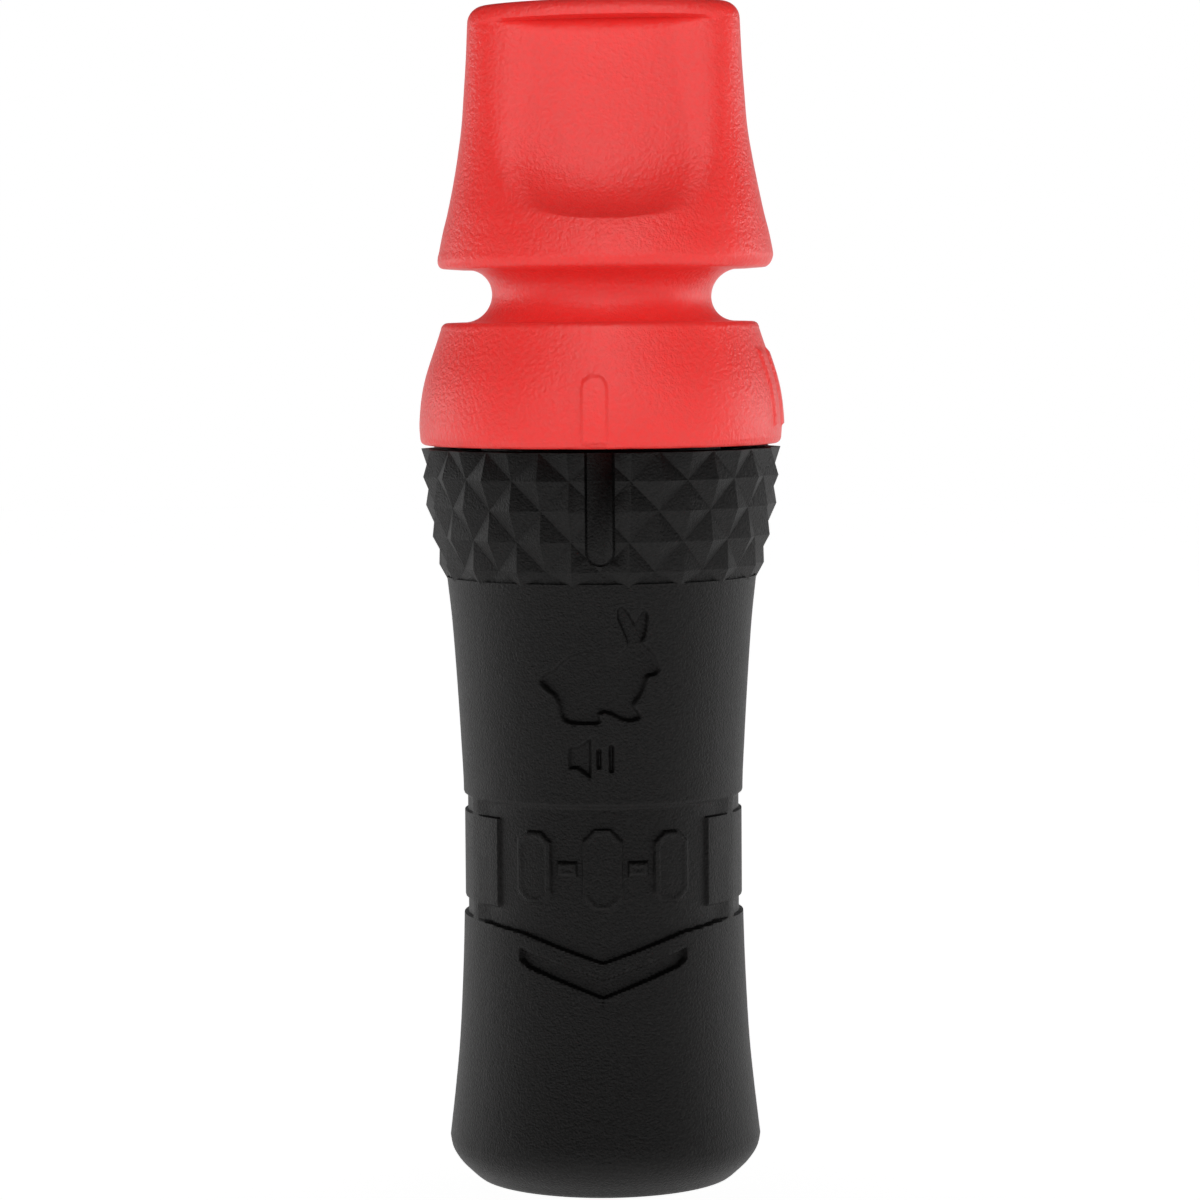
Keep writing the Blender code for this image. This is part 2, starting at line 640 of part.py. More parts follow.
def make_wedge(number, angle, mat):
    """Piece of a round bar that lies on the reed's tail."""
    basis = chamber_basis(angle)
    flat = 2 * GAP + REED_THICKNESS
    start = math.asin(flat / BOARD_R)
    turns = np.linspace(start, math.pi - start, 10)
    outline = [(BOARD_R * math.cos(a), BOARD_R * math.sin(a)) for a in turns]
    bm = bmesh.new()
    add_prism(bm, outline, 46.0, REED_HINGE, basis)
    add_object("reed_wedge_%d" % number, bm, mat)


# ---------------------------------------------------------------- ring and key
def make_snap_ring(mat):
    inner, outer, low, high = SNAP_RING
    snap = tube("snap_ring", inner, outer, low, high, mat)
    bm = bmesh.new()
    add_prism(bm, [(-3.2, 60.0), (3.2, 60.0), (3.2, 75.0), (-3.2, 75.0)], 9.0, 16.0, facing(90.0))
    boolean(snap, add_object("snap_ring_opening", bm))


def make_carrier_key(mat):
    turned("carrier_key", [(0.6, 55.0), (0.85, 55.3), (0.85, 65.6), (0.6, 65.9)], mat, count=16,
           centre=(0.0, BORE_R - 0.15))


def main():
    clear_scene()
    red = material("red_plastic", RED, 0.38)
    black = material("black_plastic", BLACK, 0.62)
    grey = material("grey_plastic", DARK_GREY, 0.5)
    ivory = material("ivory_plastic", IVORY, 0.45)
    silicone = material("silicone", SILICONE, 0.7)
    rubber = material("rubber", BLACK, 0.8)
    cork = material("cork", CORK, 0.9)
    brass = material("brass", BRASS, 0.3, 1.0)
    steel = material("steel", STEEL, 0.3, 1.0)

    make_barrel(black)
    make_mouthpiece(red)
    make_selector_plate(grey)
    make_plate_screws(steel)
    make_gaskets(silicone)
    make_o_ring("carrier_o_ring", CARRIER_RING_Z, rubber)
    make_o_ring("spigot_o_ring", SPIGOT_RING_Z, rubber)
    make_pivot(steel, brass)
    coil("pivot_spring", (0.0, 0.0, 41.8), (0.0, 0.0, 1.0), 5.2, 3.0, 0.35, 4, steel)
    make_detent(steel)
    make_reed_carrier(ivory)
    for number, angle in enumerate(STATIONS, start=1):
        make_tone_board(number, angle, grey)
        make_reed(number, angle, brass)
        make_wedge(number, angle, cork)
    make_snap_ring(steel)
    make_carrier_key(steel)


main()
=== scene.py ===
import json
import math

import bpy
import numpy as np
from mathutils import Matrix, Vector


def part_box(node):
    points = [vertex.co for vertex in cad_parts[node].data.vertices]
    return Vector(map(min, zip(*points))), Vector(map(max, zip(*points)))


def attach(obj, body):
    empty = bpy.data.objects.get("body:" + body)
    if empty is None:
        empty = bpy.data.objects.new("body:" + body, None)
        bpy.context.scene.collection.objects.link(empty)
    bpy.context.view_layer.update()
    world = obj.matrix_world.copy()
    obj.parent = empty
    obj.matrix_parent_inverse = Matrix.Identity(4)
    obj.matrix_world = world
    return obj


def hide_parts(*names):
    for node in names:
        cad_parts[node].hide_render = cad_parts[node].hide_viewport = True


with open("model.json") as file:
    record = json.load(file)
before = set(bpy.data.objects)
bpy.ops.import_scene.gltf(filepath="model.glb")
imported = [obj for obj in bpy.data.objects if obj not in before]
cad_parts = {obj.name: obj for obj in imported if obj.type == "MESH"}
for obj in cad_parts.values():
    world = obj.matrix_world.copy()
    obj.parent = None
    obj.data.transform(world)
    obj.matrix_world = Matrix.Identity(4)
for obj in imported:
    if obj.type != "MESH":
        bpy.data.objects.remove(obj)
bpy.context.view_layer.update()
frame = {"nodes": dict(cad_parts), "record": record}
mm = 0.001
record = frame["record"]

barrelLow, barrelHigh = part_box("barrel")
mouthLow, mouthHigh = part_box("mouthpiece")
barrelTop = barrelHigh.z / mm          # top of the grip band, where the slots start
collarBottom = mouthLow.z / mm
lipTop = mouthHigh.z / mm
front = -math.pi / 2                   # the hare and the index slot face -Y
print("frame loaded, barrel %.1f mm and mouthpiece to %.1f mm" % (barrelTop, lipTop))


# camera: a long lens a little above the middle of the call; aim and aside say where it looks
view = {"distance": 436.0, "azimuth": 0.5, "elevation": 4.04, "roll": -0.4, "aim": 61.45, "lens": 123.0,
        "sensor": 36.0, "aside": -0.2}


def addCamera():
    turn = math.radians(view["azimuth"])
    rise = math.radians(view["elevation"])
    away = Vector((math.sin(turn) * math.cos(rise), -math.cos(turn) * math.cos(rise), math.sin(rise)))
    data = bpy.data.cameras.new("camera")
    data.lens = view["lens"]
    data.sensor_width = view["sensor"]
    data.clip_start = 0.01
    data.clip_end = 20.0
    camera = bpy.data.objects.new("camera", data)
    aim = Vector((view["aside"] * mm, 0.0, view["aim"] * mm))
    place = Matrix.Translation(aim + away * view["distance"] * mm)
    look = (-away).to_track_quat("-Z", "Y").to_matrix().to_4x4()
    camera.matrix_world = place @ look @ Matrix.Rotation(math.radians(view["roll"]), 4, "Z")
    bpy.context.scene.collection.objects.link(camera)
    bpy.context.scene.camera = camera


addCamera()


# small numpy helpers
def smoothCurve(keys, where):
    # monotone cubic through (place, value, ...) keys: the slope at a key is the harmonic mean of its neighbours
    keys = np.asarray(keys, float)
    x, values = keys[:, 0], keys[:, 1:]
    step = np.diff(x)[:, None]
    slope = np.diff(values, axis=0) / step
    before, after = slope[:-1], slope[1:]
    same = before * after > 0
    mean = np.where(same, 2 * before * after / np.where(same, before + after, 1.0), 0.0)
    tangent = np.vstack([slope[:1], mean, slope[-1:]])
    where = np.clip(np.asarray(where, float), x[0], x[-1])
    cell = np.clip(np.searchsorted(x, where, side="right") - 1, 0, len(x) - 2)
    width = step[cell]
    t = ((where - x[cell]) / width[:, 0])[:, None]
    return (values[cell] * (2 * t ** 3 - 3 * t ** 2 + 1) + tangent[cell] * width * (t ** 3 - 2 * t ** 2 + t)
            + values[cell + 1] * (3 * t ** 2 - 2 * t ** 3) + tangent[cell + 1] * width * (t ** 3 - t ** 2))


def fade(value, low, high):
    # 0 at low, 1 at high, smooth between
    t = np.clip((value - low) / (high - low), 0.0, 1.0)
    return t * t * (3 - 2 * t)


def outlineDistance(x, z, outline):
    # signed distance to a closed outline, negative inside: nearest edge, sign by counting crossings
    best = np.full(x.shape, 1e9)
    inside = np.zeros(x.shape, bool)
    points = np.asarray(outline, float)
    for (ax, az), (bx, bz) in zip(points, np.roll(points, -1, axis=0)):
        ex, ez = bx - ax, bz - az
        t = np.clip(((x - ax) * ex + (z - az) * ez) / (ex * ex + ez * ez), 0.0, 1.0)
        best = np.minimum(best, np.hypot(x - ax - t * ex, z - az - t * ez))
        if az != bz:
            inside ^= ((az > z) != (bz > z)) & (x < ex * (z - az) / ez + ax)
    return np.where(inside, -best, best)


def roundOutline(points, steps):
    # closed Catmull-Rom curve through the points
    knots = np.array(points, float)
    before, after, beyond = np.roll(knots, 1, 0), np.roll(knots, -1, 0), np.roll(knots, -2, 0)
    t = (np.arange(steps) / steps)[:, None, None]
    curve = 0.5 * (2 * knots + (after - before) * t + (2 * before - 5 * knots + 4 * after - beyond) * t ** 2
                   + (3 * knots - before - 3 * after + beyond) * t ** 3)
    return curve.transpose(1, 0, 2).reshape(-1, 2)


def spread(ranges):
    # values laid end to end: (start, end, spacing) each
    return np.concatenate([np.linspace(start, end, max(2, int(round(abs(end - start) / gap)) + 1))[:-1]
                           for start, end, gap in ranges])


def addPiece(name, points, faces, body, nodes=(), sharp=40.0):
    # points in millimetres, faces as one array of quads or triangles
    mesh = bpy.data.meshes.new(name)
    count, size = faces.shape
    mesh.vertices.add(len(points))
    mesh.vertices.foreach_set("co", (points * mm).astype(np.float32).ravel())
    mesh.loops.add(count * size)
    mesh.loops.foreach_set("vertex_index", faces.astype(np.int32).ravel())
    mesh.polygons.add(count)
    mesh.polygons.foreach_set("loop_start", np.arange(0, count * size, size, dtype=np.int32))
    mesh.update(calc_edges=True)
    mesh.validate()
    mesh.shade_smooth()
    mesh.set_sharp_from_angle(angle=math.radians(sharp))
    obj = bpy.data.objects.new(name, mesh)
    bpy.context.scene.collection.objects.link(obj)
    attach(obj, body)
    if nodes:
        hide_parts(*nodes)
    return obj


def ringFaces(rows, columns, wrap):
    # quads between rings of points; wrap joins the last ring to the first
    i, j = np.meshgrid(np.arange(rows if wrap else rows - 1), np.arange(columns), indexing="ij")
    up, along = (i + 1) % rows, (j + 1) % columns
    quads = np.stack([i * columns + j, i * columns + along, up * columns + along, up * columns + j], axis=-1)
    return quads.reshape(-1, 4)


# barrel: one closed surface, up the outside, down the bore and the bell
barrel = {
    "foot": [(0.0, 13.6), (0.35, 14.05), (0.85, 14.6), (1.7, 15.45), (2.6, 16.1), (3.4, 16.45), (4.3, 16.6)],
    "side": [(4.3, 16.6), (9.4, 16.0), (14.5, 15.5), (19.6, 15.2), (25.6, 14.96), (31.0, 14.84), (36.0, 14.8),
             (41.7, 14.86), (46.9, 15.1), (53.7, 15.5), (59.6, 15.93), (64.15, 16.42)],
    "waistFloor": 14.42, "waistLow": 28.4, "waistHigh": 41.05,
    "panelRadius": 14.75, "panelLow": 30.1, "panelHigh": 39.4, "panelHalfAngle": 42.0,
    "engraved": 0.5, "barDepth": 0.5, "chevronDepth": 0.6, "studBorder": 0.21,
    # width of the sloping walls; a sign's wall goes from the first width to the second between two heights
    "wall": 0.17, "stepWall": 0.4, "stepFrom": 35.0, "signWall": (0.4, 0.2, 56.0, 57.6),
    "topGap": 0.5, "shelf": (15.6, 64.15),
    "bore": [(13.5, 77.2), (13.0, 76.8), (13.0, 69.7), (13.7, 69.7), (13.7, 68.0), (13.0, 68.0), (13.0, 38.0),
             (10.6, 38.0), (10.75, 30.0), (11.0, 22.0), (11.4, 12.0), (11.9, 2.0), (12.05, 0.8), (12.3, 0.0)],
}
# sitting hare seen from its right side: across and height in millimetres
hareOutline = [
    (5.95, 55.3), (5.6, 54.8), (4.8, 54.6), (4.4, 53.6), (3.95, 52.6), (3.25, 51.6), (3.75, 50.95), (3.95, 50.45),
    (3.5, 50.1), (2.5, 50.1), (1.8, 50.4), (0.9, 50.85), (0.2, 50.95), (-0.35, 50.7), (-0.15, 50.0), (-0.7, 49.8),
    (-2.5, 49.8), (-3.65, 50.0), (-4.1, 50.6), (-4.3, 51.6), (-4.75, 52.6), (-5.5, 53.25), (-6.1, 53.8),
    (-6.3, 54.35), (-5.75, 54.85), (-4.95, 55.15), (-4.15, 56.0), (-3.0, 56.8), (-1.4, 57.2), (0.0, 57.0),
    (1.2, 56.55), (1.8, 56.8), (2.5, 57.4), (2.8, 58.0), (2.4, 59.2), (1.85, 60.5), (1.75, 61.3), (2.05, 61.8),
    (2.55, 61.5), (3.1, 60.7), (3.55, 59.95), (4.0, 60.8), (4.5, 61.35), (4.8, 61.1), (4.8, 60.3), (4.6, 59.0),
    (4.25, 58.1), (4.9, 57.5), (5.5, 56.8), (5.85, 55.9),
]
horn = [(-3.35, 47.2), (-2.5, 47.2), (-1.2, 48.1), (-1.2, 44.2), (-2.5, 45.15), (-3.35, 45.15)]
loudBars = [(-0.28, 45.0, 47.2), (1.0, 44.6, 47.6)]     # middle, lower and upper end
loudBarHalf = 0.3
# edge of the lower body inside the front window, and the chevron under it
edgeOfWindow = [(-13.0, 28.4), (-8.5, 27.7), (0.0, 24.8), (8.5, 27.7), (13.0, 28.4),
                (13.0, barrel["waistHigh"]), (-13.0, barrel["waistHigh"])]
chevron = [(-8.7, 26.0), (-8.7, 24.95), (-7.9, 24.2), (0.0, 21.2), (7.9, 24.2), (8.7, 24.95), (8.7, 26.0),
           (7.7, 25.6), (0.0, 23.0), (-7.7, 25.6)]
# plain raised studs joined by dashes: centre, half width, lower and upper edge
studs = {"places": [(-7.2, 1.75, 30.9, 38.3), (0.0, 2.1, 30.3, 38.7), (7.2, 1.75, 30.9, 38.3)],
         "dashes": [(-3.75, 1.0, 33.85, 35.25), (3.75, 1.0, 33.85, 35.25)], "corner": 0.6, "groove": 0.28}


def studOutline(x, half, low, high):
    cut = half * studs["corner"]
    return [(x - half + cut, low), (x + half - cut, low), (x + half, low + cut), (x + half, high - cut),
            (x + half - cut, high), (x - half + cut, high), (x - half, high - cut), (x - half, low + cut)]


farAway = 9.0                           # stands for a distance out of reach of every wall


def barRadius(angle, z):
    # outside radius: smooth side, sunk waist, raised panels and studs, engraved signs
    look = barrel
    radius = smoothCurve(look["side"], z[:, 0])[:, :1] * np.ones_like(angle)
    foot = smoothCurve(look["foot"], z[:, 0])[:, :1] * np.ones_like(angle)
    radius = np.where(z < look["foot"][-1][0], foot, radius)
    wall = look["wall"]
    for centre, signs in ((front, True), (-front, False)):
        x = radius * np.sin(angle - centre)
        near = np.cos(angle - centre) > 0.3
        window = np.where(near, outlineDistance(x, z, edgeOfWindow), farAway)
        step = np.where(z > look["stepFrom"], look["stepWall"], wall)
        waist = fade(-window, -step / 2, step / 2)
        radius = radius + (look["waistFloor"] - radius) * waist
        raised = np.full(x.shape, farAway)
        for place in studs["places"]:
            raised = np.minimum(raised, outlineDistance(x, z, studOutline(*place)))
        for middle, half, low, high in studs["dashes"]:
            left, right = middle - half, middle + half
            dash = [(left, low), (right, low), (right, high), (left, high)]
            raised = np.minimum(raised, outlineDistance(x, z, dash))
        raised = np.where(near, raised, farAway)
        lift = (look["panelRadius"] - look["waistFloor"]) * fade(-raised, -wall / 2, wall / 2)
        inner = fade(-raised, studs["groove"] + wall, studs["groove"] + 2 * wall)
        radius = radius + lift * (1 - look["studBorder"] * inner)
        sunk = look["chevronDepth"] * fade(-outlineDistance(x, z, chevron), -wall / 2, wall / 2)
        if signs:
            hare = outlineDistance(x, z, roundOutline(hareOutline, 3))
            marks = np.minimum(hare, outlineDistance(x, z, horn))
            low, high, bottom, top = look["signWall"]
            blur = low + (high - low) * fade(z, bottom, top)
            sunk = np.maximum(sunk, look["engraved"] * fade(-marks / blur, -0.5, 0.5))
            for middle, low, high in loudBars:
                beyondStraight = np.abs(z - (low + high) / 2) - (high - low) / 2 + loudBarHalf
                bar = loudBarHalf - np.hypot(x - middle, np.maximum(0.0, beyondStraight))
                sunk = np.maximum(sunk, look["barDepth"] * fade(bar, -0.06, loudBarHalf))
        radius = radius - np.where(near, sunk, 0.0)
    # the waist between the two windows, with its panel
    side = np.abs(np.abs(angle - front) % math.pi - math.pi / 2)
    across = (np.radians(look["panelHalfAngle"]) - side) * look["panelRadius"]
    around = fade(z, look["waistLow"] - wall / 2, look["waistLow"] + wall / 2)
    around = around * fade(look["waistHigh"] - z, -look["stepWall"] / 2, look["stepWall"] / 2)
    beyond = fade(-np.abs(np.cos(angle - front)), -0.35, -0.3)
    radius = radius + (look["waistFloor"] - radius) * around * beyond
    up = np.minimum(z - look["panelLow"], look["panelHigh"] - z)
    panel = fade(np.minimum(across, up), -wall / 2, wall / 2)
    panelRadius = look["waistFloor"] + (look["panelRadius"] - look["waistFloor"]) * panel
    return np.where(panel > 0, np.maximum(radius, panelRadius), radius)


def makeBarrel():
    # finest where the hare and the loudness bars are, fine at the waist, coarse elsewhere
    angles = front + np.radians(spread([(-52, -26, 0.7), (-26, 26, 0.4), (26, 52, 0.7), (52, 128, 5.0),
                                        (128, 232, 1.5), (232, 308, 5.0)]))
    heights = np.concatenate([
        spread([(0.0, 4.3, 0.36), (4.3, 21.0, 1.5), (21.0, 41.5, 0.17), (41.5, 43.9, 0.6), (43.9, 48.3, 0.12),
                (48.3, 49.6, 0.3), (49.6, 62.1, 0.12), (62.1, 64.05, 0.6)]), [64.05, barrel["shelf"][1]]])
    grid, z = np.meshgrid(angles, heights)
    radius = barRadius(grid, z)
    underBand = [barrel["shelf"], (barrel["shelf"][0], barrelTop - barrel["topGap"])]
    hidden = np.array(underBand + barrel["bore"])
    radius = np.vstack([radius, hidden[:, :1] * np.ones_like(angles)])
    z = np.vstack([z, hidden[:, 1:] * np.ones_like(angles)])
    grid = np.broadcast_to(angles, radius.shape)
    points = np.stack([radius * np.cos(grid), radius * np.sin(grid), z], axis=-1).reshape(-1, 3)
    faces = ringFaces(*radius.shape, True)
    return addPiece("barrel_body", points, faces, "barrel", ["barrel"])


# grip band: lattice of four-sided pyramids, cut by the three index slots
grip = {
    "nodes": 36, "valley": 0.88, "foot": (16.15, 63.4), "inner": 15.2, "edge": 0.07, "edgeAngle": 12.0,
    "sharpAngle": 30.0, "stations": (-90.0, 30.0, 150.0), "slotWidth": 3.1, "slotBottom": 66.0,
    # radius and height of the slots' floor, the groove along its edge, and how far the tool stands out
    "slotFloor": [(16.6, 65.0), (17.85, 78.0)], "rimWidth": 0.26, "rimDepth": 0.45,
    "toolRadius": 22.0, "toolAbove": 2.0,
    # tip radius and height of each row
    "rows": [(17.25, 65.4), (18.05, 68.5), (18.6, 71.7), (19.0, 74.8), (19.05, 77.7)],
}


def latticePoints():
    # rows of nodes, tips and valleys by turns, then the flat top and the hidden inner wall
    around = np.arange(grip["nodes"])
    angles = front + around * math.tau / grip["nodes"]
    rows = [np.full(grip["nodes"], grip["foot"][0])]
    heights = [grip["foot"][1]]
    for row, (tip, height) in enumerate(grip["rows"]):
        rows.append(tip - grip["valley"] * ((around + row) % 2 == 0))
        heights.append(height if row < len(grip["rows"]) - 1 else barrelTop)
    for radius, height in ((grip["inner"], barrelTop), (grip["inner"], grip["foot"][1])):
        rows.append(np.full(grip["nodes"], radius))
        heights.append(height)
    radius = np.array(rows)
    height = np.array(heights)[:, None] * np.ones_like(radius)
    return np.stack([radius * np.cos(angles), radius * np.sin(angles), height], axis=-1)


def latticeFaces(rows, columns):
    # each cell is split along the line between its two valleys
    quads = ringFaces(rows, columns, True).reshape(rows, columns, 4)
    row, column = np.meshgrid(np.arange(rows), np.arange(columns), indexing="ij")
    rising = ((row + column) % 2 == 0)[..., None]
    a, b, c, d = (quads[..., k] for k in range(4))
    first = np.where(rising, np.stack([a, b, d], -1), np.stack([a, b, c], -1))
    second = np.where(rising, np.stack([b, c, d], -1), np.stack([a, c, d], -1))
    return np.concatenate([first.reshape(-1, 3), second.reshape(-1, 3)])


def slotTool():
    # three upright slots with round lower ends, whose floor leans like the band, with a groove along its edge
    half = grip["slotWidth"] / 2
    inside = half - grip["rimWidth"]
    arc = np.linspace(math.pi, math.tau, 24)
    low = grip["slotBottom"] + half
    above = barrelTop + grip["toolAbove"]
    floorRadius, floorHeight = np.array(grip["slotFloor"]).T
    steps = [(inside, 0.0), (inside, grip["rimDepth"]), (half, grip["rimDepth"]), (half, None)]
    upright = np.array([0.0, 0.0, 1.0])
    points, faces, caps = [], [], []
    for number, station in enumerate(grip["stations"]):
        turn = math.radians(station)
        out = np.array([math.cos(turn), math.sin(turn), 0.0])
        across = np.array([-math.sin(turn), math.cos(turn), 0.0])
        for reach, sunk in steps:
            side = np.concatenate([reach * np.cos(arc), [reach, -reach]])
            height = np.concatenate([low + reach * np.sin(arc), [above, above]])
            floor = np.interp(height, floorHeight, floorRadius)
            depth = np.full_like(side, grip["toolRadius"]) if sunk is None else floor - sunk
            points.append(depth[:, None] * out + side[:, None] * across + height[:, None] * upright)
        corners = len(side)
        start = number * len(steps) * corners
        last = start + (len(steps) - 1) * corners
        faces.append(ringFaces(len(steps), corners, False) + start)
        caps += [list(range(start, start + corners))[::-1], list(range(last, last + corners))]
    mesh = bpy.data.meshes.new("slot_tool")
    mesh.from_pydata((np.concatenate(points) * mm).tolist(), [], np.concatenate(faces).tolist() + caps)
    return bpy.data.objects.new("slot_tool", mesh)


def applyModifiers(obj):
    # bake what the modifiers make into the mesh
    graph = bpy.context.evaluated_depsgraph_get()
    made = bpy.data.meshes.new_from_object(obj.evaluated_get(graph))
    obj.modifiers.clear()
    obj.data = made


def makeGrip():
    lattice = latticePoints()
    rows, columns = lattice.shape[:2]
    band = addPiece("grip_band", lattice.reshape(-1, 3), latticeFaces(rows, columns), "barrel",
                    ["barrel"], 15.0)
    tool = slotTool()
    bpy.context.scene.collection.objects.link(tool)
    cut = band.modifiers.new("slots", "BOOLEAN")
    cut.object = tool
    bevel = band.modifiers.new("edges", "BEVEL")
    bevel.width = grip["edge"] * mm
    bevel.segments = 2
    bevel.limit_method = "ANGLE"
    bevel.angle_limit = math.radians(grip["edgeAngle"])
    bevel.harden_normals = True
    applyModifiers(band)
    bpy.data.objects.remove(tool)
    band.data.shade_smooth()
    band.data.set_sharp_from_angle(angle=math.radians(grip["sharpAngle"]))
    return band


# mouthpiece: rings of superellipses, up the outside and down the airway
mouth = {
    # half width, half depth, squareness at each height of the bill, before its scoops
    "bill": [(97.9, 17.72, 15.8, 2.1), (99.3, 17.45, 15.3, 2.15), (100.6, 17.17, 14.7, 2.2),
             (101.8, 16.85, 14.05, 2.3), (103.4, 16.48, 13.1, 2.4), (106.0, 15.95, 11.7, 2.5),
             (108.2, 15.55, 10.6, 2.6), (111.6, 15.05, 9.3, 2.7), (115.0, 14.78, 8.2, 2.8),
             (119.0, 14.52, 7.1, 2.9), (122.9, 14.35, 6.15, 3.0)],
    # depth of the scoop's floor from the middle plane
    "scoop": [(101.2, 16.5), (101.6, 14.5), (102.0, 13.0), (102.6, 11.7), (103.4, 10.45), (105.0, 8.95),
              (107.4, 7.7), (111.0, 6.65), (115.0, 5.9), (119.0, 5.2), (122.7, 4.5), (125.0, 4.0)],
    # hollow across the scoop at each height
    "scoopCurve": [(100.0, 0.03), (103.4, 0.026), (108.0, 0.014), (113.0, 0.010), (125.0, 0.008)],
    # softness of its edge, which grows by scoopSide between two distances from the middle
    "scoopEdge": 0.3, "scoopSide": 1.4, "scoopEdgeHalf": (4.5, 9.5),
    # height where the lip starts to round off, and how fast it does
    "lipRound": (121.2, 0.2),
    # the bill stands a little to the right of the collar
    "lean": [(90.5, 0.0), (93.75, 0.2), (96.6, 0.42), (98.5, 0.68), (104.0, 0.68), (112.0, 0.6), (125.0, 0.58)],
    "dome": [(78.7, 19.12), (80.1, 19.2), (81.8, 19.1), (83.5, 18.88), (85.2, 18.5), (86.9, 17.97),
             (88.6, 17.38), (90.2, 16.85)],
    "neckHeight": 93.75, "neckRadius": 14.35, "grooveRadius": 2.75,
    "airway": [(87.0, 6.5, 6.5, 2.0), (97.5, 6.5, 6.5, 2.0), (103.5, 7.4, 4.2, 2.4), (112.0, 8.8, 2.3, 3.0),
               (123.6, 9.7, 1.45, 4.0)],
    "ribHalf": 1.325, "ribCentre": -0.5, "ribTop": 85.6, "ribHeight": 0.26,
    "bars": (-5.4, -1.8, 1.8, 5.4), "barHalf": 0.9, "barLow": 80.0, "barHigh": 88.0, "barHeight": 0.26,
    "seam": -0.8, "seamHeight": 0.045, "seamHalf": 0.11, "seamFrom": 86.0,
    # the lip falls away towards its ends, by arch at archHalf, and is tilted a little
    "arch": 0.45, "archTilt": 0.2, "archHalf": 14.5, "archFrom": 114.0,
    # the hollow under the selector plate, from the airway down to the collar's edge
    "plenum": [(87.0, 8.9), (86.8, 9.0), (81.4, 9.0), (81.4, 13.0), (78.5, 13.0), (collarBottom, 13.4)],
}


def arcRows(start, end, bulge, count, squareness):
    # quarter-round rows from one (width, depth, height) to another; bulge says which leads, out or up
    t = np.linspace(0.0, math.pi / 2, count)[:, None]
    start, end = np.array(start, float), np.array(end, float)
    flat, rise = (np.sin(t), 1 - np.cos(t)) if bulge == "out" else (1 - np.cos(t), np.sin(t))
    rows = np.hstack([start[:2] + (end[:2] - start[:2]) * flat, start[2:] + (end[2:] - start[2:]) * rise])
    return np.hstack([rows[:, 2:], rows[:, :2], np.full((count, 1), squareness)])


def roundRows(heights, radii):
    radii = np.reshape(radii, (-1, 1))
    return np.hstack([np.reshape(heights, (-1, 1)), radii, radii, np.full_like(radii, 2.0)])


def mouthRows():
    # every ring as (height, half width, half depth, squareness), outside first
    look = mouth
    dome = np.arange(78.7, 90.2, 0.25)
    half = np.linspace(-math.pi / 2, -3 * math.pi / 2, 26)
    neck = look["neckRadius"] + look["grooveRadius"] * np.cos(half)
    neckHeight = look["neckHeight"] + look["grooveRadius"] * np.sin(half)
    shelf = look["neckHeight"] + look["grooveRadius"]
    bill = spread([(97.9, 101.0, 0.25), (101.0, 107.0, 0.12), (107.0, 122.9, 0.3)])
    airway = np.linspace(look["airway"][-1][0], look["airway"][0][0], 26)
    plenumHeight, plenumRadius = np.array(look["plenum"]).T
    outside = [
        arcRows((18.5, 18.5, collarBottom), (19.1, 19.1, 78.68), "out", 6, 2.0),
        roundRows(dome, smoothCurve(look["dome"], dome)),
        arcRows((16.85, 16.85, 90.2), (16.1, 16.1, 90.95), "up", 6, 2.0),
        np.linspace((90.97, 15.6, 15.6, 2.0), (91.0, 14.6, 14.6, 2.0), 3),
        roundRows(neckHeight, neck),
        np.linspace((shelf, 15.2, 14.6, 2.03), (shelf + 0.1, 16.6, 15.0, 2.08), 4),
        arcRows((16.9, 15.1, shelf + 0.12), (17.7, 15.82, 97.7), "out", 8, 2.1),
        np.hstack([bill[:, None], smoothCurve(look["bill"], bill)]),
    ]
    inside = [
        arcRows((14.34, 6.1, 122.95), (12.6, 4.2, lipTop), "up", 11, 3.0),
        np.linspace((lipTop, 11.8, 3.4, 3.3), (lipTop, 10.4, 2.0, 3.8), 3),
        arcRows((10.2, 1.85, lipTop - 0.03), (9.75, 1.5, lipTop - 0.9), "out", 4, 4.0),
        np.hstack([airway[:, None], smoothCurve(look["airway"], airway)]),
        roundRows(plenumHeight, plenumRadius),
    ]
    return np.vstack(outside + inside), sum(len(rows) for rows in outside)


def mouthRelief(x, y, z, angle):
    # outward push: index rib, grip bars at the right, hairline mould seam
    look = mouth
    onDome = fade(z, 78.4, 78.9) * (z < 90.6)
    ribTop = look["ribTop"] - look["ribHalf"]
    aside = x - look["ribCentre"]
    rib = look["ribHalf"] - np.where(z > ribTop, np.hypot(aside, z - ribTop), np.abs(aside))
    rib = np.where(y < 0, rib, -farAway)
    push = look["ribHeight"] * fade(rib, -0.12, 0.22) * onDome
    middle = (look["barLow"] + look["barHigh"]) / 2
    for place in look["bars"]:
        long = (look["barHigh"] - look["barLow"]) / 2 - np.abs(z - middle)
        bar = np.minimum(look["barHalf"] - np.abs(y - place), long)
        bar = np.where(x > 0, bar, -farAway)
        push = push + look["barHeight"] * fade(bar, -0.12, 0.2) * onDome
    seam = np.clip(1 - np.abs(x - look["seam"]) / look["seamHalf"], 0.0, 1.0)
    return push + look["seamHeight"] * seam * (np.abs(np.sin(angle)) > 0.5) * (z > look["seamFrom"])


